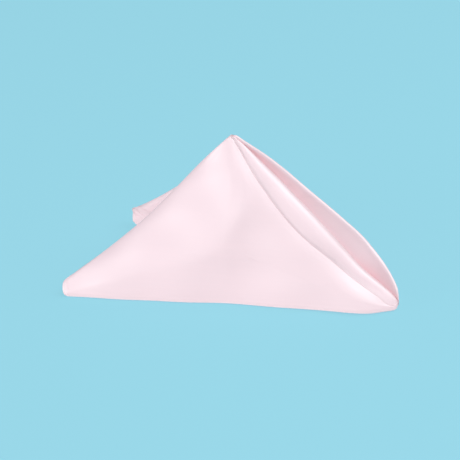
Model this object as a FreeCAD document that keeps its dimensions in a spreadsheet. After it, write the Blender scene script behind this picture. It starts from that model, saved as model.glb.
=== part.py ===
import FreeCAD, Part
import math
import os
import Sketcher

# Satin napkin in a standing pyramid fold: one square of cloth, folded corner to corner, its two
# side corners folded up, folded in half across and stood up as a tent. It is one piece of cloth,
# so it is one solid. Each panel is the whole stack of eight layers at its soft thickness.
#
# Frame: millimetres, +Z up. The ridge lies in the plane Y = 0 and slopes down towards +X, where
# its foot is. The open mouth of the tent faces -X, the plain near panel faces -Y, and the panel
# whose outer flap hangs open faces +Y. The origin is the middle of the underside.

# Driving dimensions: name, millimetres or degrees, meaning.
SIZES = [
    ("cloth_side", 508.0, "side of the flat cloth, 20 in"),
    ("half_opening", 16.4, "angle of a panel from the middle plane, seen from above"),
    ("ridge_corner", 45.0, "angle between the ridge and the bottom edge, in a panel"),
    ("ridge_length", 180.5, "ridge, from its foot to the top"),
    ("mouth_slope", 44.2, "angle of the plane of the mouth from the table"),
    ("foot_reach", 125.1, "foot of the ridge, in front of the origin"),
    ("flap_pressed", 0.5, "share of its thickness that a closed flap stands proud"),
    ("flap_setback", 4.0, "edge of the closed flap, below the roll of the ridge"),
    ("slit", 1.0, "width of the gap behind a flap at its bottom"),
    ("pocket_floor", 4.0, "cloth left under the pocket"),
    ("inner_round", 1.5, "inner corner of the ridge fold"),
    ("below_table", 14.0, "height of the sections under the table plane, trimmed off"),
    ("roll_radius", 6.2, "soft roll of the fold round the mouth"),
    ("trim_size", 45.0, "half width of the blocks that trim the panels"),
]

# Sections through the tent, parallel to its mouth, from the foot of the ridge to the mouth: name,
# place along the ridge (0 at its foot, 1 at the top), outer radius of the ridge, its sag under a
# straight line, gape of the open flap, thickness of a flap and of a whole panel.
STATIONS = [
    ("tip", 0.03, 1.6, 0.0, 3.0, 1.8, 2.4),
    ("foot", 0.12, 3.0, 1.5, 13.0, 2.6, 5.0),
    ("low", 0.26, 4.2, 3.5, 21.0, 3.0, 8.0),
    ("belly", 0.42, 4.8, 4.5, 19.5, 3.0, 9.5),
    ("middle", 0.60, 4.8, 4.5, 15.0, 3.0, 10.0),
    ("high", 0.80, 3.8, 3.0, 8.0, 2.6, 10.0),
    ("mouth", 0.975, 2.0, 0.0, 0.6, 0.6, 8.0),
]
STATION_SIZES = ("place", "round", "sag", "gape", "flap", "thick")

NEAR = -1
FAR = 1

# Expressions that every sketch shares.
PANEL_EDGE = "Sizes.cloth_side / 2"
RUN_SHARE = "(cos(Sizes.ridge_corner) / cos(Sizes.half_opening))"
RISE = "acos(%s)" % RUN_SHARE
TOP_RUN = "Sizes.ridge_length * %s" % RUN_SHARE
TOP_HEIGHT = "Sizes.ridge_length * sin(%s)" % RISE
SPREAD = "(cos(Sizes.mouth_slope) + sin(Sizes.mouth_slope) / tan(%s))" % RISE
LEAN = "atan(%s * tan(Sizes.half_opening))" % SPREAD


def make_sheet(doc):
    """Spreadsheet of the driving dimensions: a meaning, a plain number and its name."""
    sheet = doc.addObject("Spreadsheet::Sheet", "Sizes")
    rows = list(SIZES)
    for station in STATIONS:
        for word, value in zip(STATION_SIZES, station[1:]):
            rows.append(("%s_%s" % (station[0], word), value, "%s of section %s" % (word, station[0])))
    for number, (alias, value, meaning) in enumerate(rows, start=1):
        sheet.set("A%d" % number, meaning)
        sheet.set("B%d" % number, str(value))
        sheet.setAlias("B%d" % number, alias)
    doc.recompute()
    return sheet


def origin_plane(body, role):
    """One of the body's own origin planes."""
    for feature in body.Origin.OriginFeatures:
        if feature.Role == role:
            return feature
    raise ValueError(role)


def make_sketch(body, name, role):
    """An empty sketch on one of the body's origin planes."""
    sketch = body.newObject("Sketcher::SketchObject", name)
    sketch.AttachmentSupport = [(origin_plane(body, role), "")]
    sketch.MapMode = "FlatFace"
    return sketch


def tilt_to_mouth(sketch, place):
    """Turn a YZ sketch parallel to the mouth and put its zero on the ridge at the given place.

    In it, x runs across the tent towards the far panel and y runs up towards the ridge.
    """
    sketch.AttachmentOffset = FreeCAD.Placement(
        FreeCAD.Vector(0, 0, 0), FreeCAD.Rotation(FreeCAD.Vector(1, 0, 0), 45)
    )
    sketch.setExpression("AttachmentOffset.Rotation.Angle", "90 deg - Sizes.mouth_slope * 1 deg")
    sketch.setExpression("AttachmentOffset.Base.y", "%s * %s" % (place, TOP_HEIGHT))
    sketch.setExpression("AttachmentOffset.Base.z", "Sizes.foot_reach - %s * %s" % (place, TOP_RUN))


def fix_point(sketch, geometry, end, label, point):
    """Hold one end of a line at a point given by two expressions."""
    for kind, axis, text in (("DistanceX", "x", point[0]), ("DistanceY", "y", point[1])):
        value = value_of(sketch, text)
        number = sketch.addConstraint(Sketcher.Constraint(kind, -1, 1, geometry, end, value))
        sketch.renameConstraint(number, label + "_" + axis)
        sketch.setExpression("Constraints." + label + "_" + axis, text)


def value_of(sketch, text):
    """The present value of an expression, as a plain number."""
    value = sketch.evalExpression(text)
    return float(getattr(value, "Value", value))


def vector_of(sketch, point):
    """The present place of a point given by two expressions."""
    return FreeCAD.Vector(value_of(sketch, point[0]), value_of(sketch, point[1]), 0)


def draw_chain(sketch, points):
    """Draw lines from point to point, each held at its named ends; give the lines' numbers."""
    names = list(points)
    lines = []
    for first, second in zip(names, names[1:]):
        line = Part.LineSegment(vector_of(sketch, points[first]), vector_of(sketch, points[second]))
        lines.append(sketch.addGeometry(line))
        fix_point(sketch, lines[-1], 1, first, points[first])
        if len(lines) > 1:
            sketch.addConstraint(Sketcher.Constraint("Coincident", lines[-2], 2, lines[-1], 1))
    fix_point(sketch, lines[-1], 2, names[-1], points[names[-1]])
    return lines


def draw_loop(sketch, points):
    """Draw a closed outline of straight lines through the named points."""
    names = list(points)
    lines = draw_chain(sketch, points)
    last = Part.LineSegment(vector_of(sketch, points[names[-1]]), vector_of(sketch, points[names[0]]))
    closing = sketch.addGeometry(last)
    sketch.addConstraint(Sketcher.Constraint("Coincident", lines[-1], 2, closing, 1))
    sketch.addConstraint(Sketcher.Constraint("Coincident", closing, 2, lines[0], 1))


def draw_fold(sketch, near_line, far_line, label, radius, centre):
    """Join the top ends of a near and a far line by a round fold, centred on the middle line."""
    middle = vector_of(sketch, ("0", centre))
    circle = Part.Circle(middle, FreeCAD.Vector(0, 0, 1), value_of(sketch, radius))
    lean = math.radians(value_of(sketch, LEAN))
    fold = sketch.addGeometry(Part.ArcOfCircle(circle, lean, math.pi - lean))
    sketch.addConstraint(Sketcher.Constraint("Coincident", fold, 1, far_line[0], far_line[1]))
    sketch.addConstraint(Sketcher.Constraint("Coincident", fold, 2, near_line[0], near_line[1]))
    number = sketch.addConstraint(Sketcher.Constraint("Radius", fold, value_of(sketch, radius)))
    sketch.renameConstraint(number, label)
    sketch.setExpression("Constraints." + label, radius)


def panel_point(station, side, down, outward):
    """A point of a section: down along a panel from the roll of the ridge, and outward of it."""
    reach = "(Sizes.%s_round + %s)" % (station, outward)
    across = "%d * (%s * cos(%s) + (%s) * sin(%s))" % (side, reach, LEAN, down, LEAN)
    centre = "-Sizes.%s_sag - Sizes.%s_round" % (station, station)
    height = "%s + %s * sin(%s) - (%s) * cos(%s)" % (centre, reach, LEAN, down, LEAN)
    return across, height


def table_depth(station):
    """How far down a panel the table is, from the roll of the ridge, in a section."""
    straight = "Sizes.%s_place * %s / sin(Sizes.mouth_slope)" % (station, TOP_HEIGHT)
    lowered = "Sizes.%s_sag + Sizes.%s_round * (1 - sin(%s))" % (station, station, LEAN)
    return "((%s - %s) / cos(%s))" % (straight, "(" + lowered + ")", LEAN)


def draw_section(body, station):
    """One section of the folded cloth: near panel, ridge roll, pocket, open flap, far panel."""
    sketch = make_sketch(body, "section_" + station, "YZ_Plane")
    tilt_to_mouth(sketch, "Sizes.%s_place" % station)
    thick = "Sizes.%s_thick" % station
    gape = "Sizes.%s_gape" % station
    open_flap = "%s + Sizes.%s_flap" % (gape, station)
    closed_flap = "Sizes.flap_pressed * Sizes.%s_flap" % station
    flap_end = "Sizes.slit + " + closed_flap
    end = "%s + Sizes.below_table" % table_depth(station)
    floor = "%s - Sizes.pocket_floor" % table_depth(station)
    inner_gap = "(%s - Sizes.%s_round + Sizes.inner_round)" % (thick, station)
    inner_top = "%s / tan(%s)" % (inner_gap, LEAN)
    near_lines = draw_chain(sketch, {
        "near_inner_top": panel_point(station, NEAR, inner_top, "-" + thick),
        "near_inner_end": panel_point(station, NEAR, end, "-" + thick),
        "near_outer_end": panel_point(station, NEAR, end, flap_end),
        "closed_flap_edge": panel_point(station, NEAR, "Sizes.flap_setback", closed_flap),
        "closed_flap_root": panel_point(station, NEAR, "Sizes.flap_setback", "0"),
        "near_top": panel_point(station, NEAR, "0", "0"),
    })
    far_lines = draw_chain(sketch, {
        "far_top": panel_point(station, FAR, "0", "0"),
        "pocket_inside": panel_point(station, FAR, floor, "0"),
        "pocket_outside": panel_point(station, FAR, floor, "Sizes.slit"),
        "open_flap_inside": panel_point(station, FAR, "0", gape),
        "open_flap_outside": panel_point(station, FAR, "0", open_flap),
        "far_outer_end": panel_point(station, FAR, end, flap_end),
        "far_inner_end": panel_point(station, FAR, end, "-" + thick),
        "far_inner_top": panel_point(station, FAR, inner_top, "-" + thick),
    })
    radius = "Sizes.%s_round" % station
    centre = "-Sizes.%s_sag - %s" % (station, radius)
    inner_centre = "%s - %s / sin(%s)" % (centre, inner_gap, LEAN)
    draw_fold(sketch, (near_lines[-1], 2), (far_lines[0], 1), "ridge", radius, centre)
    draw_fold(sketch, (near_lines[0], 1), (far_lines[-1], 2), "inner", "Sizes.inner_round", inner_centre)
    return sketch


def make_tent(body):
    """The folded cloth as one loft through its sections."""
    sections = [draw_section(body, station[0]) for station in STATIONS]
    tent = body.newObject("PartDesign::AdditiveLoft", "tent")
    tent.Profile = sections[0]
    tent.Sections = sections[1:]
    tent.Ruled = False
    tent.Closed = False
    return tent


def make_roll(body, name, side):
    """The soft round fold along the mouth edge of one panel: a rod turned about its middle line."""
    sketch = make_sketch(body, name + "_outline", "YZ_Plane")
    tilt_to_mouth(sketch, "Sizes.mouth_place")
    middle = "-Sizes.mouth_thick / 2"
    edge = "%s + Sizes.roll_radius" % middle
    top = "(Sizes.mouth_thick / 2 - Sizes.mouth_round) / tan(%s)" % LEAN
    end = "%s + Sizes.below_table" % table_depth("mouth")
    draw_loop(sketch, {
        "middle_top": panel_point("mouth", side, top, middle),
        "middle_end": panel_point("mouth", side, end, middle),
        "edge_end": panel_point("mouth", side, end, edge),
        "edge_top": panel_point("mouth", side, top, edge),
    })
    roll = body.newObject("PartDesign::Revolution", name)
    roll.Profile = sketch
    roll.ReferenceAxis = (sketch, ["Edge1"])
    roll.Angle = 360
    return roll


def make_top(body):
    """The round top, where the two rolls meet."""
    ball = body.newObject("PartDesign::AdditiveSphere", "top")
    ball.AttachmentSupport = [(origin_plane(body, "YZ_Plane"), "")]
    ball.MapMode = "FlatFace"
    inward = "(Sizes.mouth_thick / 2 - Sizes.mouth_round) / sin(%s)" % LEAN
    depth = "(Sizes.mouth_sag + Sizes.mouth_round + %s)" % inward
    height = "Sizes.mouth_place * %s - %s * sin(Sizes.mouth_slope)" % (TOP_HEIGHT, depth)
    run = "Sizes.foot_reach - Sizes.mouth_place * %s - %s * cos(Sizes.mouth_slope)" % (TOP_RUN, depth)
    ball.setExpression("AttachmentOffset.Base.y", height)
    ball.setExpression("AttachmentOffset.Base.z", run)
    ball.setExpression("Radius", "Sizes.roll_radius")
    return ball


def end_point(side, outward, across):
    """A point on the table, from the end of a panel's bottom edge: past it, and across it."""
    reach = "(%s + %s)" % (PANEL_EDGE, outward)
    turn = "Sizes.half_opening"
    run = "Sizes.foot_reach - %s * cos(%s) + %s * sin(%s)" % (reach, turn, across, turn)
    offset = "%d * (%s * sin(%s) + %s * cos(%s))" % (side, reach, turn, across, turn)
    return run, offset


def cut_end(body, name, side):
    """Trim the outer end of a panel square to its bottom edge."""
    sketch = make_sketch(body, name + "_outline", "XY_Plane")
    draw_loop(sketch, {
        "inside": end_point(side, "0", "(-Sizes.trim_size)"),
        "inside_past": end_point(side, "Sizes.trim_size", "(-Sizes.trim_size)"),
        "outside_past": end_point(side, "Sizes.trim_size", "Sizes.trim_size"),
        "outside": end_point(side, "0", "Sizes.trim_size"),
    })
    cut = body.newObject("PartDesign::Pocket", name)
    cut.Profile = sketch
    cut.Type = "Length"
    cut.Midplane = True
    cut.setExpression("Length", "2 * Sizes.trim_size")
    return cut


def cut_table(body):
    """Trim everything under the table plane, which leaves the flat underside."""
    sketch = make_sketch(body, "table_outline", "XY_Plane")
    ahead = "Sizes.foot_reach + Sizes.trim_size"
    behind = "Sizes.foot_reach - %s - 2 * Sizes.trim_size" % PANEL_EDGE
    wide = "3 * Sizes.trim_size"
    draw_loop(sketch, {
        "front_near": (ahead, "-" + wide),
        "front_far": (ahead, wide),
        "back_far": (behind, wide),
        "back_near": (behind, "-" + wide),
    })
    cut = body.newObject("PartDesign::Pocket", "table")
    cut.Profile = sketch
    cut.Type = "Length"
    cut.setExpression("Length", "3 * Sizes.below_table")
    return cut


def check(doc, body, features):
    """Stop if an object failed, a feature did nothing, or the body is not one sound solid."""
    for item in doc.Objects:
        if "Invalid" in item.State or "Error" in item.State:
            raise RuntimeError("%s: %s" % (item.Name, item.getStatusString()))
    for before, after in zip(features, features[1:]):
        change = after.Shape.Volume - before.Shape.Volume
        print("%s changes the volume by %.0f mm3" % (after.Name, change))
        cuts = after.isDerivedFrom("PartDesign::Pocket")
        if change == 0 or cuts != (change < 0):
            raise RuntimeError("%s does nothing" % after.Name)
    shape = body.Shape
    if shape.isNull() or not shape.isValid() or len(shape.Solids) != 1:
        raise RuntimeError("%s has no single sound solid" % body.Label)


def main():
    doc = FreeCAD.newDocument("satin_napkin")
    make_sheet(doc)
    napkin = doc.addObject("PartDesign::Body", "napkin")
    napkin.Label = "napkin"
    napkin.Placement = FreeCAD.Placement()
    features = [
        make_tent(napkin),
        make_roll(napkin, "near_roll", NEAR),
        make_roll(napkin, "far_roll", FAR),
        make_top(napkin),
        cut_end(napkin, "near_end", NEAR),
        cut_end(napkin, "far_end", FAR),
        cut_table(napkin),
    ]
    doc.recompute()
    check(doc, napkin, features)
    os.makedirs("parts", exist_ok=True)
    napkin.Shape.exportStep("parts/%s.step" % napkin.Label)
    box = napkin.Shape.optimalBoundingBox(True, False)
    size = (box.XLength, box.YLength, box.ZLength)
    print("solid of %.0f mm3, %.1f x %.1f x %.1f mm" % ((napkin.Shape.Volume,) + size))
    print("middle of its box: X %.1f, Y %.1f" % (box.Center.x, box.Center.y))


main()
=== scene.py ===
# %% [markdown]
# # A satin napkin in a standing pyramid fold
#
# One square of pink satin is folded corner to corner, its two side corners are folded up, the
# diamond is folded in half, and the triangle is stood up along its middle crease like a tent.
# A lesson in how to get crisp folds and soft rolls from one flat sheet, without a simulation:
# the flat cloth is meshed once, and each fold is a short function that carries every point of it
# round a soft roll. Lengths are in millimetres until a mesh is made, and in metres in Blender.

import math

import bpy
import numpy as np
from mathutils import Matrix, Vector
from mathutils.bvhtree import BVHTree
from mathutils.interpolate import poly_3d_calc


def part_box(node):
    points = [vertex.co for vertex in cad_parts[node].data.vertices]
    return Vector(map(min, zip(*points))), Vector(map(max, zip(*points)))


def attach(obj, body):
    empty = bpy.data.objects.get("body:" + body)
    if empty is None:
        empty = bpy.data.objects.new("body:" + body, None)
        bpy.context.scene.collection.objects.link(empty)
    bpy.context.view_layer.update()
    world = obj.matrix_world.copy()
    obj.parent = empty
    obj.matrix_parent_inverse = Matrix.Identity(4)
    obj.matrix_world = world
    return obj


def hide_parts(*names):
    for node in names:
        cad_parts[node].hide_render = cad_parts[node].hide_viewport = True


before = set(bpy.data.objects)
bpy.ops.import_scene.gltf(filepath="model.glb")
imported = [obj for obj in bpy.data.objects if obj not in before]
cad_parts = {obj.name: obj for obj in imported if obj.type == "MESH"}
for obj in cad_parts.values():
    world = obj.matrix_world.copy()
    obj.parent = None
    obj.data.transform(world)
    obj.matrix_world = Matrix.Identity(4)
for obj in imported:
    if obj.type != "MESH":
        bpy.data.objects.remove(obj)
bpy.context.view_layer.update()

# %% [markdown]
# ## The flat cloth
#
# Dinner napkins are most often cut 20 inches square. Everything is worked out along the two
# diagonals of the square, `across` and `along`, because every crease of this fold is parallel to
# a diagonal or at 45 degrees to it. The creases cut the square into 16 equal triangles.

# %% Sizes of the cloth
CLOTH = 508.0
REACH = CLOTH / math.sqrt(2)
LEG = REACH / 2
CLOTH_THICK = 0.26
HEM_THICK = 0.6
PINCHED_THICK = 0.05
HEM_WIDTH = 5.0
CORNER_FADE = (16, 34)
print("half diagonal %.1f mm, leg of a triangle %.1f mm" % (REACH, LEG))

# %% [markdown]
# Each triangle is meshed with rings that follow its three sides, close together at the creases,
# where the cloth rolls over, and wide apart in the middle, where it is nearly flat. A plain grid
# would need many times the faces for the same smooth creases.

# %% One triangle as rings
RING_DEPTHS = [0, 0.8, 1.6, 2.4, 3.4, 4.6, 6.2, 8.2, 10.8, 14, 18, 23, 29, 36, 43, 49]


def graded(count, crowd=0.55):
    """Shares from 0 to 1, crowded at both ends, where creases meet."""
    even = np.linspace(0, 1, count + 1)
    eased = (1 - np.cos(math.pi * even)) / 2
    return even * (1 - crowd) + eased * crowd


def triangle_rings(corners, counts):
    """Points and faces of a triangle: rings parallel to its sides, closed by a fan of faces."""
    corners = np.array(corners, float)
    sides = np.roll(corners, -1, axis=0) - corners
    lengths = np.linalg.norm(sides, axis=1)
    opposite = np.roll(lengths, -1)
    centre = (corners * opposite[:, None]).sum(0) / opposite.sum()
    area = abs(sides[0, 0] * sides[1, 1] - sides[0, 1] * sides[1, 0]) / 2
    inner_radius = 2 * area / lengths.sum()
    outline = []
    for corner, side, count in zip(corners, sides, counts):
        outline.extend(corner + side * share for share in graded(count)[:-1])
    outline = np.array(outline)
    size = len(outline)
    rings = [centre + (outline - centre) * (1 - depth / inner_radius) for depth in RING_DEPTHS]
    points = np.vstack(rings + [centre])
    depths = np.append(np.repeat(RING_DEPTHS, size), inner_radius)
    faces = []
    for ring in range(len(rings) - 1):
        for place in range(size):
            after = (place + 1) % size
            low = ring * size
            high = low + size
            faces.append((low + place, low + after, high + after, high + place))
    last = (len(rings) - 1) * size
    for place in range(size):
        faces.append((last + place, last + (place + 1) % size, len(points) - 1))
    return points, faces, depths


# %% The flat cloth from its 16 triangles
LEG_STEPS = 50
SLANT_STEPS = 60


def flat_cloth():
    """Flat points (across, along), faces and distance to a fold, with one point where sides meet."""
    points = []
    faces = []
    depths = []
    counts = (LEG_STEPS, LEG_STEPS, SLANT_STEPS)
    for side in (1, -1):
        for end in (1, -1):
            for swap in (False, True):
                for outer in (False, True):
                    start = REACH if outer else 0
                    corners = [(start, 0), (LEG, 0), (LEG, LEG)]
                    corners = [(b, a) if swap else (a, b) for a, b in corners]
                    corners = [(a * side, b * end) for a, b in corners]
                    new_points, new_faces, new_depths = triangle_rings(corners, counts)
                    depths.append(new_depths)
                    first = sum(len(group) for group in points)
                    turned = (side * end > 0) != swap
                    if outer:
                        turned = not turned
                    for face in new_faces:
                        face = tuple(first + index for index in face)
                        faces.append(face[::-1] if turned else face)
                    points.append(new_points)
    points = np.vstack(points)
    keys = np.round(points, 3) + 0.0
    _, keep, where = np.unique(keys, axis=0, return_index=True, return_inverse=True)
    where = where.ravel()
    faces = [tuple(int(where[index]) for index in face) for face in faces]
    return points[keep], faces, np.concatenate(depths)[keep]


flat, faces, fold_distance = flat_cloth()
print("flat cloth: %d points, %d faces" % (len(flat), len(faces)))

# %% [markdown]
# ## Folding
#
# A fold of soft cloth is a roll, not a line. `roll_over` takes how far a point lies in front of the
# fold and its height in the stack, and carries it round a half circle about the fold's axis. Past
# the half circle the cloth lies flat again on the other side. Because it works on heights, it
# folds a whole stack of layers as easily as one.

# %% Helpers for smooth changes
def ease(value, start, stop):
    """0 before start, 1 after stop, and a smooth change between them."""
    share = np.clip((value - start) / (stop - start), 0, 1)
    return share * share * (3 - 2 * share)


def curve_through(points, places):
    """Heights of a smooth curve through a few (place, height) points."""
    at = np.array([point[0] for point in points], float)
    height = np.array([point[1] for point in points], float)
    slope = np.gradient(height, at)
    index = np.clip(np.searchsorted(at, places) - 1, 0, len(at) - 2)
    width = at[index + 1] - at[index]
    share = np.clip((places - at[index]) / width, 0, 1)
    square = share * share
    cube = square * share
    return (
        (2 * cube - 3 * square + 1) * height[index]
        + (cube - 2 * square + share) * width * slope[index]
        + (3 * square - 2 * cube) * height[index + 1]
        + (cube - square) * width * slope[index + 1]
    )


def roll_over(before, height, axis, outer):
    """Carry points round a fold: `before` is how far in front of it, negative for beyond it."""
    turn = np.clip(before / outer, -1, 1) * math.pi / 2
    beyond = np.maximum(np.abs(before) - outer, 0)
    away = outer - np.abs(height - axis) * np.cos(turn) + beyond
    return away, axis + (height - axis) * np.sin(turn)


# %% [markdown]
# The stack of the finished fold has eight layers. `PAIR` is the room between the two layers that
# the first fold makes, `WING` the room between a wing and what it lies on, and `HALF` the room
# between the two halves of the diamond. These are the fullest sizes: each gap is then pressed to
# a share of its own size, small where the ridge holds the cloth tight and large at a loose edge.

# %% Folds 1 to 3: corner to corner, wings up, in half
PAIR = 1.7
WING = 1.7
HALF = 5.0
STACK = 2 * PAIR + WING
FLAP_BLEND = 6
RIDGE_PINCH = 0.3
RIDGE_PINCH_REACH = (2, 20)
NEAR_CREASE = [
    (0, 181.8), (30, 182.0), (60, 180.8), (90, 180.2),
    (115, 181.6), (140, 184.4), (157, 187.2), (180, 189.8),
]
FAR_CREASE = [
    (0, 181.8), (30, 180.6), (60, 178.6), (90, 178.0),
    (112, 180.4), (133, 183.4), (153, 187.6), (180, 193.4),
]


def last_crease(across, reach):
    """How far out the fold in half lies, at distances from the ridge, on either side."""
    return np.where(across > 0, curve_through(FAR_CREASE, reach), curve_through(NEAR_CREASE, reach))


def fold_flat(across, along):
    """The flat folded triangle: distance from the ridge, place along it, height, share of flap."""
    out, height = roll_over(along, np.zeros_like(along), PAIR / 2, PAIR / 2)
    reach = np.abs(across)
    before = (out - reach) / math.sqrt(2)
    wide = (out + reach) / math.sqrt(2)
    flap = ease(-before, 0, FLAP_BLEND)
    before, height = roll_over(before, height, PAIR + WING / 2, PAIR + WING / 2)
    reach = np.maximum((wide - before) / math.sqrt(2), 0)
    out = (wide + before) / math.sqrt(2)
    crease = last_crease(across, reach)
    pinch = RIDGE_PINCH + (1 - RIDGE_PINCH) * ease(reach, *RIDGE_PINCH_REACH)
    outer = (HALF / 2 + STACK) * pinch
    before, height = roll_over(crease - out, height * pinch, -HALF / 2 * pinch, outer)
    return reach, crease - before, height / pinch, flap


# %% [markdown]
# ## Pressing and standing up
#
# The folded triangle is opened along its middle line, which becomes the ridge of a narrow tent.
# Its last fold becomes the two sloping edges of the mouth. The near wing lies shut a little short
# of the ridge, and the far wing hangs open, which shows the deep pink pocket behind it. `RISE` is
# the slope of the ridge, and `HALF_ANGLE` is how far a panel leans from upright. The profiles
# give sizes at places along the ridge, from its foot, 0, to the top, 1. A pair of numbers says
# where a soft change starts and where it is complete, mostly in millimetres from the ridge.

# %% The ridge and the room between layers
RISE = math.radians(42.5)
HALF_ANGLE = math.radians(23.5)
SIN_HALF = math.sin(HALF_ANGLE)
COS_HALF = math.cos(HALF_ANGLE)
RIDGE = np.array([-math.cos(RISE), 0, math.sin(RISE)])
INWARD = np.array([-math.sin(RISE), 0, -math.cos(RISE)])
ACROSS = np.array([0, 1.0, 0])
ONWARD = np.array([1.0, 0, 0])
RIDGE_LENGTH = 180.5
RIDGE_ROUND = [(0, 3.6), (0.12, 5.0), (0.3, 7.0), (0.58, 7.5), (0.8, 5.8), (0.93, 3.6), (1, 1.8)]
RIDGE_AXIS = [(0, 4.4), (0.12, 5.2), (0.3, 6.0), (0.56, 5.4), (0.8, 4.6), (0.92, 3.0), (1, 1.9)]
RIDGE_FADE = (5, 70)
PRESS = 0.5
PRESS_REACH = (4, 45)
LEAST_ROUND = 0.6
END_PRESS = 0.5
FOOT_PRESS_RUN = (0, 20)
TOP_PRESS_RUN = (0, 16)
LOOSE = 1.8
NEAR_RIM_SHUT = 0.5
HALF_SHUT = 0.15
HALF_OPEN_UP = (6, 50)
FAR_END_OPEN = (200, 235)


def gap_share(reach, out, rounding):
    """How far a gap is pressed: tight round the ridge and at its ends, softer out in the panel."""
    tight = (rounding - LEAST_ROUND) / (2 * STACK + HALF - PAIR - WING)
    tight = np.minimum(tight, PRESS)
    tight = tight + (PRESS - tight) * ease(reach, *PRESS_REACH)
    past_foot = ease(out, *FOOT_PRESS_RUN)
    below_top = ease(RIDGE_LENGTH - out + 2 * reach, *TOP_PRESS_RUN)
    return tight * (END_PRESS + (1 - END_PRESS) * past_foot * below_top)


def pressed(height, tight, far_rim, near_rim, half_open):
    """Real depth of a point below the outside of the base cloth, from its height in the stack."""
    inner_stack = (np.clip(PAIR - height, 0, PAIR) + np.clip(-HALF - height, 0, None)) * tight
    half_room = np.clip(-height, 0, HALF) * tight * half_open
    wing_tight = tight * (1 - NEAR_RIM_SHUT * near_rim)
    wing_room = np.clip(height - PAIR, 0, WING) * wing_tight
    wing_pair = np.clip(height - PAIR - WING, 0, None) * (wing_tight + (LOOSE - tight) * far_rim)
    return inner_stack + half_room - wing_room - wing_pair


def round_ridge(reach, depth, rounding, centre):
    """Carry the stack round the ridge: distance down a panel and outward of its plane."""
    quarter = math.pi / 2 - HALF_ANGLE
    arc = rounding * quarter
    turn = np.minimum(reach / rounding, quarter)
    radius = rounding - depth
    down = centre * COS_HALF - radius * np.cos(turn + HALF_ANGLE) + np.maximum(reach - arc, 0)
    outward = radius * np.sin(turn + HALF_ANGLE) - centre * SIN_HALF
    fade = ease(reach, *RIDGE_FADE)
    down = down - (centre * COS_HALF - arc) * fade
    outward = outward - (rounding - centre * SIN_HALF) * fade
    return down, outward


# %% [markdown]
# A panel of soft cloth isn't flat. It is full near the floor, where the layers push it out, and
# slack in the middle, where two soft folds run down from the top, one to each end. The folds are
# given by where their crests lie and how high they stand at places along the panel's foot. A
# rounded least of two slopes makes each crest a soft roll instead of a sharp ridge.

# %% Bulges and soft folds of a panel
BASE_BULGE = [
    (0, 2.0), (14, 6.0), (34, 9.0), (55, 8.0), (85, 6.0),
    (120, 2.6), (175, 2.2), (200, 2.0), (230, 0), (260, 0),
]
CREST_PLACE = [
    (0, 1.0), (10, 4.5), (52, 24), (83, 42), (104, 62), (116, 74),
    (128, 54), (146, 38), (203, 19), (237, 9), (260, 4),
]
CREST_HEIGHT = [
    (0, 0), (20, 1.5), (52, 3.4), (83, 4.6), (104, 5.5),
    (122, 7.6), (146, 6.5), (203, 3.4), (237, 1.2), (260, 0),
]
PANEL_RUN = 256
BULGE_REACH = (0, 18)
BASE_BULGE_UP = (0.0, 0.95)
CREST_LIMIT = 0.8
CREST_ROUND = 3
CREST_LEAST = 0.5
SLACK_ROUND = 0.16


def soft_least(first, second, softness):
    """The lesser of two values, with the corner between them rounded."""
    return -softness * np.log(np.exp(-first / softness) + np.exp(-second / softness))


def panel_bulge(reach, out):
    """How far a panel stands out of its plane: a full foot and a slack middle under soft folds."""
    forward = (out + reach) / math.sqrt(2)
    up = np.clip((out - reach) / math.sqrt(2), 0, None)
    top = np.maximum(np.minimum(forward, PANEL_RUN - forward), 1)
    off_ridge = ease(reach, *BULGE_REACH)
    base = curve_through(BASE_BULGE, forward) * (1 - ease(up / top, *BASE_BULGE_UP)) * off_ridge
    crest = soft_least(curve_through(CREST_PLACE, forward), CREST_LIMIT * top, CREST_ROUND)
    crest = np.maximum(crest, CREST_LEAST)
    rise = soft_least(up / crest, (top - up) / (top - crest), SLACK_ROUND)
    slack = curve_through(CREST_HEIGHT, forward) * np.clip(rise, 0, None) * off_ridge
    return base, slack


# %% [markdown]
# Handled satin keeps long, low ripples that only its shine shows. A few plane waves of a
# fraction of a millimetre are enough, and being sums of sines they are the same on every run.
# Each wave is its height, length, heading in degrees and shift.

# %% Ripples
RIPPLES = [(0.5, 64, 25, 0.6), (0.4, 43, 80, 2.1), (0.25, 29, -40, 4.0)]
RIDGE_RIPPLE = 0.35
RIPPLE_REACH = (10, 45)
RIPPLE_OUT = (0, 30)


def ripple(reach, out, side):
    """Low, wide ripples left by handling, as a sum of a few long waves."""
    total = np.zeros_like(out)
    for height, length, heading, shift in RIPPLES:
        heading = math.radians(heading)
        along = out * math.cos(heading) + reach * math.sin(heading)
        total += height * np.sin(2 * math.pi * along / length + shift + side)
    off_ridge = RIDGE_RIPPLE + (1 - RIDGE_RIPPLE) * ease(reach, *RIPPLE_REACH)
    return total * off_ridge * ease(out, *RIPPLE_OUT)


# %% [markdown]
# The wings give this fold its look. The edge of the shut one is set back from the ridge and
# presses a fine groove beside it. The open one gapes most below the middle of the ridge, its rim
# flares a little, and it comes back to its panel within a finger's width, so light reaches the
# pocket's floor. The panels fall away softly to the edge of the mouth, where the cloth turns
# round its last fold.

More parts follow.
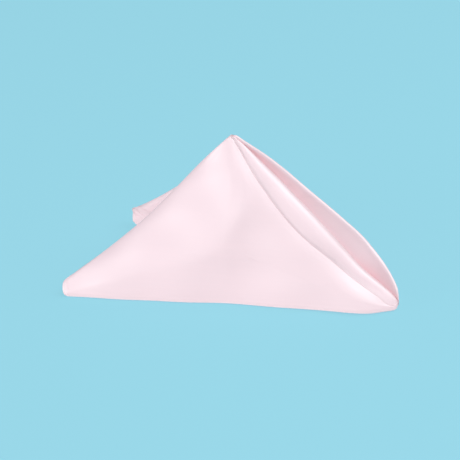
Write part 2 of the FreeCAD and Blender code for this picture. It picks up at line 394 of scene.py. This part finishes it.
# %% Wings and edges
NEAR_SETBACK = [
    (0, 4), (0.12, 7.5), (0.3, 11.5), (0.56, 17.0),
    (0.66, 15.5), (0.84, 9.5), (0.95, 4.0), (1, 1),
]
SETBACK_SLOPE = 1.6
EDGE_GROOVE = 1.9
GROOVE_WIDTH = 3.6
GROOVE_START = (0.02, 0.2)
WING_GROOVE = 0.5
RIM_SHARE = (0.6, 0.95)
FAR_GAPE = [
    (0, 0.3), (0.03, 3.6), (0.07, 7.0), (0.14, 13.0), (0.27, 19.4), (0.42, 18.3),
    (0.56, 15.5), (0.7, 11.8), (0.83, 7.0), (0.93, 2.8), (1, 0),
]
GAPE_DEPTH = 19
GAPE_DEPTH_SLOPE = 0.6
RIM_DROP = [(0, 0), (0.07, 0.4), (0.16, 2.4), (0.3, 3), (0.8, 3), (0.92, 0.8), (1, 0)]
RIM_FLARE = 3.0
FLARE_WIDTH = 5
FLARE_START = (0.05, 0.2)
FLARE_END = (0.8, 0.97)
EDGE_FALL = 4.5
EDGE_FALL_WIDTH = (-4, 26)
FALL_REACH = (8, 40)
NEAR_FALL_END = (225, 250)
FAR_FALL_END = (150, 200)


def groove_beside(reach, setback, share, on_wing):
    """Depth of the groove that the edge of the shut wing presses beside itself."""
    groove = EDGE_GROOVE * np.exp(-((reach - setback) / GROOVE_WIDTH) ** 2)
    return groove * ease(share, *GROOVE_START) * (1 - WING_GROOVE * on_wing)


def open_wing(reach, out, share):
    """How far the open wing stands off its panel, and how far its rim drops beside the ridge."""
    depth = np.clip(GAPE_DEPTH_SLOPE * out, 1, GAPE_DEPTH)
    gape = curve_through(FAR_GAPE, share) * (1 - ease(reach, 0, depth))
    flare = RIM_FLARE * np.exp(-reach / FLARE_WIDTH) * ease(share, *FLARE_START)
    flare = flare * (1 - ease(share, *FLARE_END))
    return gape + flare, curve_through(RIM_DROP, share) * (1 - ease(reach, *RIDGE_FADE))


def fall_to_edge(across, reach, out, forward, far):
    """How far a panel falls away towards the edge of the mouth."""
    near_edge = (1 - ease(last_crease(across, reach) - out, *EDGE_FALL_WIDTH)) ** 2
    fall_end = np.where(far, ease(forward, *FAR_FALL_END), ease(forward, *NEAR_FALL_END))
    return EDGE_FALL * near_edge * (ease(reach, *FALL_REACH) * (1 - fall_end))


# %% [markdown]
# At the foot of the ridge all four corners and the middle of the cloth meet in a small rounded
# nose. It is made by pushing that end out along a quarter of an ellipse. The far outer end of
# the cloth is turned in a little, as a hand leaves it.

# %% The foot and the outer ends
NOSE = 5.6
NOSE_UP = np.array([0.5, 0, 0.86])
NOSE_FADE = (3, 52)
NOSE_ASIDE = 0.4
NOSE_ONWARD = 0.5
END_TUCK = 10.0
TUCK_RUN = (185, 254)
TUCK_LOW = 0.65
TUCK_UP = (0, 20)
END_ONWARD = 0.6
END_ONWARD_RUN = (200, 254)
END_LIFT = 0.3
END_LIFT_RUN = (244, 256)
END_LIFT_UP = (0, 8)


def foot_nose(reach, out, side):
    """The rounded foot of the ridge, where all the folds meet: a push away from the ridge's end."""
    full = NOSE * np.sqrt(1 - np.clip(1 - out / NOSE, 0, 1) ** 2) * (1 - ease(out, *NOSE_FADE))
    aside = ease(reach / np.maximum(out, 0.1), 0, 1)
    wide = full * aside
    push_up = (full * (1 - aside))[:, None] * NOSE_UP
    push_aside = (NOSE_ASIDE * wide * side)[:, None] * ACROSS
    return push_up + push_aside + (NOSE_ONWARD * wide)[:, None] * ONWARD


def turn_ends(place, up, forward, far):
    """Turn the far outer end in and on a little, and lift the near one off the floor."""
    place[:, 1] -= END_TUCK * far * ease(forward, *TUCK_RUN) * (1 - TUCK_LOW * ease(up, *TUCK_UP))
    place[:, 0] += END_ONWARD * far * ease(forward, *END_ONWARD_RUN)
    near_end = ease(forward, *END_LIFT_RUN) * (1 - ease(up, *END_LIFT_UP)) * (~far)
    place[:, 2] += END_LIFT * near_end
    return place


# %% [markdown]
# Now everything comes together. A point is folded flat, the gaps of its stack are pressed, the
# ridge is bent round a roll, the far wing is let hang, and the bulges, groove and ripples of its
# panel are added across it.

# %% The standing napkin
def stand_up(across, along):
    """Place of each flat point in the standing napkin, in millimetres from the ridge's foot."""
    reach, out, height, flap = fold_flat(across, along)
    side = np.sign(across)
    far = side > 0
    share = np.clip(out / RIDGE_LENGTH, 0, 1)
    up = (out - reach) / math.sqrt(2)
    forward = (out + reach) / math.sqrt(2)
    on_wing = flap * ease(height, PAIR, PAIR + WING)
    open_share = np.clip(1 - reach / np.maximum(out, 1), 0, 1) * on_wing
    rim = ease(open_share, *RIM_SHARE)
    rounding = curve_through(RIDGE_ROUND, share)
    centre = curve_through(RIDGE_AXIS, share)
    tight = gap_share(reach, out, rounding)
    half_open = np.maximum(ease(up, *HALF_OPEN_UP), far * ease(forward, *FAR_END_OPEN))
    half_open = HALF_SHUT + (1 - HALF_SHUT) * half_open
    depth = pressed(height, tight, far * rim, (~far) * rim, half_open)
    setback = np.minimum(curve_through(NEAR_SETBACK, share), SETBACK_SLOPE * out)
    reach = reach + setback * open_share * (~far)
    groove = groove_beside(reach, setback, share, on_wing) * (~far)
    down, outward = round_ridge(reach, depth, rounding, centre)
    loose = far * on_wing
    gape, drop = open_wing(reach, out, share)
    down = down + (reach + drop - down) * loose
    outward = outward + (gape - depth - outward) * loose
    base, slack = panel_bulge(reach, out)
    outward = outward + base + slack * (1 - loose * open_share) - groove + ripple(reach, out, side)
    outward = outward - fall_to_edge(across, reach, out, forward, far)
    sideways = side * (down * SIN_HALF + outward * COS_HALF)
    inward = down * COS_HALF - outward * SIN_HALF
    place = out[:, None] * RIDGE + inward[:, None] * INWARD + sideways[:, None] * ACROSS
    place[:, 2] -= base * SIN_HALF * math.cos(RISE)
    place += foot_nose(reach, out, side)
    return turn_ends(place, up, forward, far)


# %% [markdown]
# The creases are joined from separate curves, so small kinks are left where they meet. Real
# cloth has no such kinks, because it resists bending. A few rounds of moving each point towards
# the mean of its neighbours ease them out, near the creases only, so that the shape keeps its
# size. Faces that look up carry the cloth's thickness below them, so their points are kept that
# far above the floor, and all others only on it.

# %% Relaxing, resting and thickness
RELAX_ROUNDS = 3
RELAX_SHARE = 0.5
RELAX_NEAR = (5, 14)
FLOOR_ROUND = 0.5
FACING_UP = (-0.3, 0.3)
HEM_STEP = (-0.5, 1)
FREE_OF_FOOT = (3, 22)
FREE_OF_TOP = (2, 18)


def relax(place, faces, amount, rounds):
    """Kinks eased out: each point goes part of the way to the mean of its neighbours, a few times."""
    edges = []
    for face in faces:
        for start, stop in zip(face, face[1:] + face[:1]):
            edges.append((start, stop))
    edges = np.array(edges)
    edges = np.unique(np.sort(edges, axis=1), axis=0)
    count = np.bincount(edges.ravel(), minlength=len(place))[:, None]
    for _ in range(rounds):
        total = np.zeros_like(place)
        np.add.at(total, edges[:, 0], place[edges[:, 1]])
        np.add.at(total, edges[:, 1], place[edges[:, 0]])
        place = place + (total / count - place) * amount[:, None]
    return place


def on_floor(height, least):
    """Heights kept above the least ones, with a soft turn where the cloth meets the floor."""
    above = height - least
    return least + (above + np.sqrt(above ** 2 + FLOOR_ROUND)) / 2


def thickness(across, along):
    """Thickness at flat points: more in the hem, less where all the layers are pinched together."""
    border = (REACH - np.abs(across) - np.abs(along)) / math.sqrt(2)
    longest = np.maximum(np.abs(across), np.abs(along))
    least = np.minimum(np.abs(across), np.abs(along))
    from_corner = np.hypot(REACH - longest, least)
    hem = (1 - ease(border - HEM_WIDTH, *HEM_STEP)) * ease(from_corner, *CORNER_FADE)
    reach, out, _, _ = fold_flat(across, along)
    free_of_foot = ease(np.hypot(reach, out), *FREE_OF_FOOT)
    free = free_of_foot * ease(np.hypot(reach, RIDGE_LENGTH - out), *FREE_OF_TOP)
    full = CLOTH_THICK + (HEM_THICK - CLOTH_THICK) * hem
    return PINCHED_THICK + (full - PINCHED_THICK) * free


# %% [markdown]
# The folded sheet takes the faces of the flat one, since folding moves points and joins nothing.
# It is placed by the CAD box: the foot of the ridge stands just past its end, because the CAD
# solid is a little plainer and shorter there than the cloth.

# %% The folded sheet as a mesh
TIP_PAST_BOX = 3.3

low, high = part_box("napkin")
foot = np.array([high.x * 1000 + TIP_PAST_BOX, 0, low.z * 1000])
near_fold = RELAX_SHARE * (1 - ease(fold_distance, *RELAX_NEAR))
standing = relax(stand_up(flat[:, 0], flat[:, 1]), faces, near_fold, RELAX_ROUNDS)
satin_mesh = bpy.data.meshes.new("napkin_cloth")
satin_mesh.from_pydata(((standing + foot) / 1000).tolist(), [], faces)
satin_mesh.update()
thick = thickness(flat[:, 0], flat[:, 1])
normals = np.zeros(len(flat) * 3)
satin_mesh.vertices.foreach_get("normal", normals)
under = thick * ease(normals[2::3], *FACING_UP)
standing[:, 2] = on_floor(standing[:, 2], under)
satin_mesh.vertices.foreach_set("co", ((standing + foot) / 1000).ravel())
satin_mesh.update()
napkin = bpy.data.objects.new("napkin_cloth", satin_mesh)
bpy.context.scene.collection.objects.link(napkin)
for polygon in satin_mesh.polygons:
    polygon.use_smooth = True
print("folded sheet: %d points, %.1f mm high" % (len(standing), np.ptp(standing[:, 2])))

# %% [markdown]
# The weave belongs to the flat cloth and goes with it round every fold. A map that gives each
# face its place in the flat square carries it. Patterns set in the room's coordinates would run
# straight through the folds and give them away.

# %% A map of the flat cloth
cloth_map = satin_mesh.uv_layers.new(name="flat_cloth")
corner_points = np.zeros(len(satin_mesh.loops), int)
satin_mesh.loops.foreach_get("vertex_index", corner_points)
squared = np.column_stack([flat[:, 0] - flat[:, 1], flat[:, 0] + flat[:, 1]]) / math.sqrt(2)
cloth_map.data.foreach_set("uv", (squared[corner_points] / CLOTH + 0.5).ravel())
print("map of the flat cloth: %d face corners" % len(corner_points))

# %% [markdown]
# ## Materials
#
# Both the cloth and its thread were dyed, and dye drifts a little from place to place. The
# drift is used by both, so it is a node group with named inputs: a colour, the size of a patch
# and how far the colour swings.

# %% Helpers for materials
SATIN_PINK = (0.92, 0.63, 0.664, 1)
THREAD_PINK = (0.92, 0.70, 0.74, 1)


def add_node(tree, kind, **settings):
    """A node with some of its settings."""
    node = tree.nodes.new(kind)
    for name, value in settings.items():
        setattr(node, name, value)
    return node


def drift_group():
    """A node group: a colour that drifts a little lighter and darker over the cloth."""
    tree = bpy.data.node_groups.new("colour_drift", "ShaderNodeTree")
    socket = tree.interface.new_socket("Colour", in_out="INPUT", socket_type="NodeSocketColor")
    socket.default_value = SATIN_PINK
    socket = tree.interface.new_socket("Patch Size", in_out="INPUT", socket_type="NodeSocketFloat")
    socket.default_value = 0.05
    socket = tree.interface.new_socket("Amount", in_out="INPUT", socket_type="NodeSocketFloat")
    socket.default_value = 0.03
    tree.interface.new_socket("Colour", in_out="OUTPUT", socket_type="NodeSocketColor")
    entry = add_node(tree, "NodeGroupInput")
    leave = add_node(tree, "NodeGroupOutput")
    where = add_node(tree, "ShaderNodeTexCoord")
    scale = add_node(tree, "ShaderNodeMath", operation="DIVIDE")
    scale.inputs[0].default_value = 1
    tree.links.new(entry.outputs["Patch Size"], scale.inputs[1])
    noise = add_node(tree, "ShaderNodeTexNoise")
    noise.inputs["Detail"].default_value = 1
    tree.links.new(where.outputs["Object"], noise.inputs["Vector"])
    tree.links.new(scale.outputs[0], noise.inputs["Scale"])
    centred = add_node(tree, "ShaderNodeMath", operation="SUBTRACT")
    tree.links.new(noise.outputs["Fac"], centred.inputs[0])
    centred.inputs[1].default_value = 0.5
    swing = add_node(tree, "ShaderNodeMath", operation="MULTIPLY_ADD")
    tree.links.new(centred.outputs[0], swing.inputs[0])
    tree.links.new(entry.outputs["Amount"], swing.inputs[1])
    swing.inputs[2].default_value = 1
    tint = add_node(tree, "ShaderNodeVectorMath", operation="SCALE")
    tree.links.new(entry.outputs["Colour"], tint.inputs[0])
    tree.links.new(swing.outputs[0], tint.inputs["Scale"])
    tree.links.new(tint.outputs[0], leave.inputs["Colour"])
    return tree


colour_drift = drift_group()

# %% [markdown]
# Satin is woven so that long smooth floats of yarn lie on its face. It reflects white light in
# a wide soft sheen over a strong pink body. So the base colour is a deep pink and the index of
# refraction is high: in the open the sheen makes the cloth pale, and in the pocket, where light
# bounces from pink to pink, the colour grows somewhat deeper by itself. Fine noise stretched
# along the yarns gives the floats, and longer streaks vary the gloss.

# %% Satin
YARN_FLOAT = (7, 0.45)
STREAK = (90, 2.2)

satin = bpy.data.materials.new("pink_satin")
satin.use_nodes = True
tree = satin.node_tree
shader = tree.nodes["Principled BSDF"]
shader.inputs["IOR"].default_value = 2.9
shader.inputs["Sheen Weight"].default_value = 0.08
shader.inputs["Sheen Roughness"].default_value = 0.35
shader.inputs["Sheen Tint"].default_value = (1, 0.9, 0.92, 1)
tone = add_node(tree, "ShaderNodeGroup", node_tree=colour_drift)
tone.inputs["Colour"].default_value = SATIN_PINK
tone.inputs["Patch Size"].default_value = 0.06
tone.inputs["Amount"].default_value = 0.05
cloth_uv = add_node(tree, "ShaderNodeUVMap", uv_map="flat_cloth")
floats = add_node(tree, "ShaderNodeMapping")
floats.inputs["Scale"].default_value = (CLOTH / YARN_FLOAT[0], CLOTH / YARN_FLOAT[1], 1)
tree.links.new(cloth_uv.outputs[0], floats.inputs["Vector"])
yarns = add_node(tree, "ShaderNodeTexNoise")
yarns.inputs["Scale"].default_value = 1
yarns.inputs["Detail"].default_value = 1
tree.links.new(floats.outputs[0], yarns.inputs["Vector"])
streaks = add_node(tree, "ShaderNodeMapping")
streaks.inputs["Scale"].default_value = (CLOTH / STREAK[0], CLOTH / STREAK[1], 1)
tree.links.new(cloth_uv.outputs[0], streaks.inputs["Vector"])
slubs = add_node(tree, "ShaderNodeTexNoise")
slubs.inputs["Scale"].default_value = 1
slubs.inputs["Detail"].default_value = 2
tree.links.new(streaks.outputs[0], slubs.inputs["Vector"])
gloss = add_node(tree, "ShaderNodeMapRange")
gloss.inputs["To Min"].default_value = 0.46
gloss.inputs["To Max"].default_value = 0.55
tree.links.new(slubs.outputs["Fac"], gloss.inputs["Value"])
streak_tone = add_node(tree, "ShaderNodeMapRange")
streak_tone.inputs["To Min"].default_value = 0.985
streak_tone.inputs["To Max"].default_value = 1.015
tree.links.new(slubs.outputs["Fac"], streak_tone.inputs["Value"])
colour = add_node(tree, "ShaderNodeVectorMath", operation="SCALE")
tree.links.new(tone.outputs["Colour"], colour.inputs[0])
tree.links.new(streak_tone.outputs[0], colour.inputs["Scale"])
weave = add_node(tree, "ShaderNodeBump")
weave.inputs["Strength"].default_value = 0.35
weave.inputs["Distance"].default_value = 0.00003
tree.links.new(yarns.outputs["Fac"], weave.inputs["Height"])
tree.links.new(colour.outputs[0], shader.inputs["Base Color"])
tree.links.new(gloss.outputs[0], shader.inputs["Roughness"])
tree.links.new(weave.outputs[0], shader.inputs["Normal"])
satin_mesh.materials.append(satin)
print("satin: %d nodes" % len(tree.nodes))

# %% [markdown]
# The thread is spun polyester: duller than satin, and uneven from its twisted plies.

# %% Sewing thread
thread = bpy.data.materials.new("pink_thread")
thread.use_nodes = True
tree = thread.node_tree
shader = tree.nodes["Principled BSDF"]
shader.inputs["Roughness"].default_value = 0.5
shader.inputs["Sheen Weight"].default_value = 0.1
tone = add_node(tree, "ShaderNodeGroup", node_tree=colour_drift)
tone.inputs["Colour"].default_value = THREAD_PINK
tone.inputs["Patch Size"].default_value = 0.004
tone.inputs["Amount"].default_value = 0.12
where = add_node(tree, "ShaderNodeTexCoord")
twist = add_node(tree, "ShaderNodeTexNoise")
twist.inputs["Scale"].default_value = 6000
tree.links.new(where.outputs["Object"], twist.inputs["Vector"])
plies = add_node(tree, "ShaderNodeBump")
plies.inputs["Strength"].default_value = 0.3
plies.inputs["Distance"].default_value = 0.00005
tree.links.new(twist.outputs["Fac"], plies.inputs["Height"])
tree.links.new(tone.outputs["Colour"], shader.inputs["Base Color"])
tree.links.new(plies.outputs[0], shader.inputs["Normal"])

# %% [markdown]
# ## Thickness and hem
#
# The border is turned twice and sewn down, so it is about twice as thick as the cloth. Nothing
# is modelled inside it. A Solidify modifier reads the thickness from a vertex group, full in the
# hem, less in the cloth, and least where all the layers are pinched together at the foot and the
# top. It works inwards, so the outer face stays where the folding put it.

# %% Thickness and the turned hem
share = (thick - PINCHED_THICK) / (HEM_THICK - PINCHED_THICK)
thicker = napkin.vertex_groups.new(name="thicker")
for point in range(len(flat)):
    thicker.add([point], float(share[point]), "REPLACE")
thicken = napkin.modifiers.new("thickness", "SOLIDIFY")
thicken.thickness = HEM_THICK / 1000
thicken.offset = -1
thicken.vertex_group = "thicker"
thicken.thickness_vertex_group = PINCHED_THICK / HEM_THICK
print("thickness %.2f to %.2f mm, at the middle %.2f" % (thick.min(), thick.max(), np.median(thick)))

# %% [markdown]
# ## Stitches
#
# A lockstitch shows as a row of short dashes on both faces of the hem. The row is drawn on the
# flat square, where it is four straight lines, and each of its points is carried to the folded
# cloth by its place within a face. It is left out at the corners and round tight creases, where
# the dashes would stand off the cloth.

# %% The line of stitches, carried from the flat cloth to the folded one
STITCH_IN = 4.0
STITCH_PITCH = 3.0
STITCH_LENGTH = 2.3
THREAD_THICK = 0.34
THREAD_PROUD = 0.15
GENTLE_TURN = 0.8


def stitch_line():
    """Flat points round the square, a little inside its border, about a millimetre apart."""
    corner = REACH - STITCH_IN * math.sqrt(2)
    corners = [(corner, 0), (0, corner), (-corner, 0), (0, -corner)]
    steps = int(CLOTH)
    line = []
    for start, stop in zip(corners, corners[1:] + corners[:1]):
        for step in range(steps):
            share = step / steps
            a = start[0] + (stop[0] - start[0]) * share
            b = start[1] + (stop[1] - start[1]) * share
            line.append((a, b))
    return line


def carry(line, lift):
    """Folded places of flat points, lifted off the cloth along its normal."""
    flat_points = [Vector((a, b, 0)) for a, b in flat]
    finder = BVHTree.FromPolygons(flat_points, faces)
    normals = [vertex.normal.copy() for vertex in satin_mesh.vertices]
    places = [vertex.co.copy() for vertex in satin_mesh.vertices]
    carried = []
    for a, b in line:
        near, _, face, _ = finder.find_nearest(Vector((a, b, 0)))
        ring = faces[face]
        weights = poly_3d_calc([flat_points[index] for index in ring], near)
        place = Vector((0, 0, 0))
        normal = Vector((0, 0, 0))
        for index, weight in zip(ring, weights):
            place += places[index] * weight
            normal += normals[index] * weight
        carried.append(place + normal.normalized() * lift)
    return carried


def gentle_runs(points, clear):
    """Edges between neighbours of a closed line, left out where it turns sharply or isn't clear."""
    count = len(points)
    turns = []
    for index in range(count):
        into = (points[index] - points[index - 2]).normalized()
        away = (points[(index + 2) % count] - points[index]).normalized()
        turns.append(into.dot(away))
    edges = []
    for index in range(count):
        after = (index + 1) % count
        if min(turns[index], turns[after]) > GENTLE_TURN and clear[index] and clear[after]:
            edges.append((index, after))
    return edges


line = stitch_line()
from_corner = [math.hypot(REACH - max(abs(a), abs(b)), min(abs(a), abs(b))) for a, b in line]
clear = [distance > CORNER_FADE[1] for distance in from_corner]
proud = THREAD_THICK * THREAD_PROUD
lifts = (proud / 1000, -(HEM_THICK + proud) / 1000)
path_points = []
path_edges = []
for lift in lifts:
    run = carry(line, lift)
    first = len(path_points)
    path_edges.extend((first + a, first + b) for a, b in gentle_runs(run, clear))
    path_points.extend(run)
path_mesh = bpy.data.meshes.new("stitch_path")
path_mesh.from_pydata([tuple(point) for point in path_points], path_edges, [])
path = bpy.data.objects.new("stitch_path", path_mesh)
bpy.context.scene.collection.objects.link(path)
print("stitch line: %d points, %d edges kept" % (len(path_points), len(path_edges)))

# %% [markdown]
# More than a thousand dashes are the same small rounded thread, turned to follow the row. Nodes
# space them evenly along the edges, and the result is turned into a plain mesh of its own.

# %% Stitches, by Geometry Nodes
def stitch_tree():
    """A node tree: short threads set along the edges of a mesh, turned to follow them."""
    tree = bpy.data.node_groups.new("hem_stitches", "GeometryNodeTree")
    tree.interface.new_socket("Geometry", in_out="INPUT", socket_type="NodeSocketGeometry")
    for name in ("Pitch", "Length", "Thickness"):
        tree.interface.new_socket(name, in_out="INPUT", socket_type="NodeSocketFloat")
    tree.interface.new_socket("Thread", in_out="INPUT", socket_type="NodeSocketMaterial")
    tree.interface.new_socket("Geometry", in_out="OUTPUT", socket_type="NodeSocketGeometry")
    entry = add_node(tree, "NodeGroupInput")
    leave = add_node(tree, "NodeGroupOutput")
    curve = add_node(tree, "GeometryNodeMeshToCurve")
    even = add_node(tree, "GeometryNodeResampleCurve", mode="LENGTH")
    bead = add_node(tree, "GeometryNodeMeshUVSphere")
    bead.inputs["Segments"].default_value = 6
    bead.inputs["Rings"].default_value = 4
    bead.inputs["Radius"].default_value = 0.5
    size = add_node(tree, "ShaderNodeCombineXYZ")
    drawn = add_node(tree, "GeometryNodeTransform")
    tangent = add_node(tree, "GeometryNodeInputTangent")
    turn = add_node(tree, "FunctionNodeAlignRotationToVector", axis="X")
    place = add_node(tree, "GeometryNodeInstanceOnPoints")
    realize = add_node(tree, "GeometryNodeRealizeInstances")
    smooth = add_node(tree, "GeometryNodeSetShadeSmooth")
    finish = add_node(tree, "GeometryNodeSetMaterial")
    tree.links.new(entry.outputs["Geometry"], curve.inputs["Mesh"])
    tree.links.new(curve.outputs["Curve"], even.inputs["Curve"])
    tree.links.new(entry.outputs["Pitch"], even.inputs["Length"])
    tree.links.new(entry.outputs["Length"], size.inputs["X"])
    tree.links.new(entry.outputs["Thickness"], size.inputs["Y"])
    tree.links.new(entry.outputs["Thickness"], size.inputs["Z"])
    tree.links.new(bead.outputs["Mesh"], drawn.inputs["Geometry"])
    tree.links.new(size.outputs[0], drawn.inputs["Scale"])
    tree.links.new(tangent.outputs[0], turn.inputs["Vector"])
    tree.links.new(even.outputs["Curve"], place.inputs["Points"])
    tree.links.new(drawn.outputs["Geometry"], place.inputs["Instance"])
    tree.links.new(turn.outputs[0], place.inputs["Rotation"])
    tree.links.new(place.outputs["Instances"], realize.inputs["Geometry"])
    tree.links.new(realize.outputs["Geometry"], smooth.inputs["Geometry"])
    tree.links.new(smooth.outputs["Geometry"], finish.inputs["Geometry"])
    tree.links.new(entry.outputs["Thread"], finish.inputs["Material"])
    tree.links.new(finish.outputs["Geometry"], leave.inputs["Geometry"])
    return tree


sewing = path.modifiers.new("sewing", "NODES")
sewing.node_group = stitch_tree()
values = {
    "Pitch": STITCH_PITCH / 1000,
    "Length": STITCH_LENGTH / 1000,
    "Thickness": THREAD_THICK / 1000,
    "Thread": thread,
}
for item in sewing.node_group.interface.items_tree:
    if item.in_out == "INPUT" and item.name in values:
        sewing[item.identifier] = values[item.name]
worked_out = bpy.context.evaluated_depsgraph_get()
stitch_mesh = bpy.data.meshes.new_from_object(path.evaluated_get(worked_out), depsgraph=worked_out)
stitch_mesh.name = "hem_stitches"
stitch_mesh.materials.clear()
stitch_mesh.materials.append(thread)
for polygon in stitch_mesh.polygons:
    polygon.material_index = 0
bpy.data.objects.remove(path)
stitches = bpy.data.objects.new("hem_stitches", stitch_mesh)
bpy.context.scene.collection.objects.link(stitches)
print("stitches: %d faces, materials %s" % (len(stitch_mesh.polygons), list(stitch_mesh.materials)))

# %% [markdown]
# ## Handing over
#
# A napkin is one piece, so cloth and stitches both ride on the root. The cloth stands for the
# CAD node, and the stitches go with the sheet.

# %% Hand the pieces over
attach(napkin, "root")
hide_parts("napkin")
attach(stitches, "root")

# %% [markdown]
# ## Floor and studio
#
# The napkin stands on a plain pale blue sweep. The camera, and anything glossy, sees its colour,
# partly as plain light so that it stays even, and partly as paint, so that it keeps the shadow.
# What light it throws back on the cloth is neutral.

# %% Floor
BACKDROP = (0.328, 0.701, 0.831, 1)
TABLE_WHITE = (0.95, 0.93, 0.93, 1)

bpy.ops.mesh.primitive_circle_add(vertices=64, radius=6, fill_type="NGON")
floor = bpy.context.object
floor.name = "floor"


def seen_directly(nodes, links):
    """1 for rays from the camera or off something glossy or clear, else 0."""
    path = nodes.new("ShaderNodeLightPath")
    glossy = nodes.new("ShaderNodeMath")
    glossy.operation = "MAXIMUM"
    clear = nodes.new("ShaderNodeMath")
    clear.operation = "MAXIMUM"
    links.new(path.outputs["Is Camera Ray"], glossy.inputs[0])
    links.new(path.outputs["Is Glossy Ray"], glossy.inputs[1])
    links.new(glossy.outputs[0], clear.inputs[0])
    links.new(path.outputs["Is Transmission Ray"], clear.inputs[1])
    return clear.outputs[0]


floor_paint = bpy.data.materials.new("floor_paint")
floor_paint.use_nodes = True
nodes = floor_paint.node_tree.nodes
links = floor_paint.node_tree.links
nodes.clear()
paint = nodes.new("ShaderNodeBsdfDiffuse")
paint.inputs["Color"].default_value = BACKDROP
glow = nodes.new("ShaderNodeEmission")
glow.inputs["Color"].default_value = BACKDROP
part = nodes.new("ShaderNodeMixShader")
part.inputs["Fac"].default_value = 0.8
links.new(paint.outputs[0], part.inputs[1])
links.new(glow.outputs[0], part.inputs[2])
plain = nodes.new("ShaderNodeBsdfDiffuse")
plain.inputs["Color"].default_value = TABLE_WHITE
table = nodes.new("ShaderNodeEmission")
table.inputs["Color"].default_value = TABLE_WHITE
table.inputs["Strength"].default_value = 1.5
soft = nodes.new("ShaderNodeMixShader")
soft.inputs["Fac"].default_value = 0.5
links.new(plain.outputs[0], soft.inputs[1])
links.new(table.outputs[0], soft.inputs[2])
either = nodes.new("ShaderNodeMixShader")
links.new(seen_directly(nodes, links), either.inputs["Fac"])
links.new(soft.outputs[0], either.inputs[1])
links.new(part.outputs[0], either.inputs[2])
finish = nodes.new("ShaderNodeOutputMaterial")
links.new(either.outputs[0], finish.inputs["Surface"])
floor.data.materials.append(floor_paint)

# %% [markdown]
# Four big soft lights and bright walls keep the satin's shading gentle. The light on the left is
# low and wide, for the long face of the front panel. The one behind is high, for the lip of the
# open wing. Seen by the camera, none turns the pale cloth to plain white.

# %% Lights
world = bpy.data.worlds.new("studio")
bpy.context.scene.world = world
world.use_nodes = True
nodes = world.node_tree.nodes
links = world.node_tree.links
nodes.clear()
walls = nodes.new("ShaderNodeBackground")
walls.inputs["Color"].default_value = (1, 1, 1, 1)
walls.inputs["Strength"].default_value = 0.375
backdrop = nodes.new("ShaderNodeBackground")
backdrop.inputs["Color"].default_value = BACKDROP
either = nodes.new("ShaderNodeMixShader")
links.new(seen_directly(nodes, links), either.inputs["Fac"])
links.new(walls.outputs[0], either.inputs[1])
links.new(backdrop.outputs[0], either.inputs[2])
finish = nodes.new("ShaderNodeOutputWorld")
links.new(either.outputs[0], finish.inputs["Surface"])


def softbox(name, place, aim, size, power):
    """A square soft light at a place, turned to a point."""
    data = bpy.data.lights.new(name, "AREA")
    data.size = size
    data.energy = power
    lamp = bpy.data.objects.new(name, data)
    bpy.context.scene.collection.objects.link(lamp)
    lamp.location = place
    lamp.rotation_euler = (Vector(aim) - Vector(place)).to_track_quat("-Z", "Y").to_euler()
    return lamp


MIDDLE = (0, 0, 0.05)
softbox("front", (0.2, -1.85, 0.6), MIDDLE, 1.2, 2.4)
softbox("high", (0.7, -0.9, 1.5), MIDDLE, 0.9, 6.2)
softbox("left", (-1.15, -1.45, 0.18), MIDDLE, 0.9, 17)
softbox("back", (1.0, 0.35, 1.4), MIDDLE, 1.1, 13)
print("lights:", [lamp.name for lamp in bpy.data.lights])

# %% [markdown]
# A long lens from a step back shows the tent from a little above and to the right of its front.

# %% Camera
AZIMUTH = math.radians(20.7)
ELEVATION = math.radians(26.2)
DISTANCE = 1.5
AIM = Vector((-0.0049, 0, 0.05))
back = Vector((
    math.sin(AZIMUTH) * math.cos(ELEVATION),
    -math.cos(AZIMUTH) * math.cos(ELEVATION),
    math.sin(ELEVATION),
))
lens = bpy.data.cameras.new("camera")
camera = bpy.data.objects.new("camera", lens)
bpy.context.scene.collection.objects.link(camera)
camera.location = AIM + back * DISTANCE
camera.rotation_euler = back.to_track_quat("Z", "Y").to_euler()
lens.sensor_width = 36
lens.lens = 154.4
lens.shift_x = -0.0139
lens.shift_y = -0.0174
bpy.context.scene.camera = camera
print("camera at", [round(x, 3) for x in camera.location])
bpy.context.scene.view_settings.view_transform = "Standard"
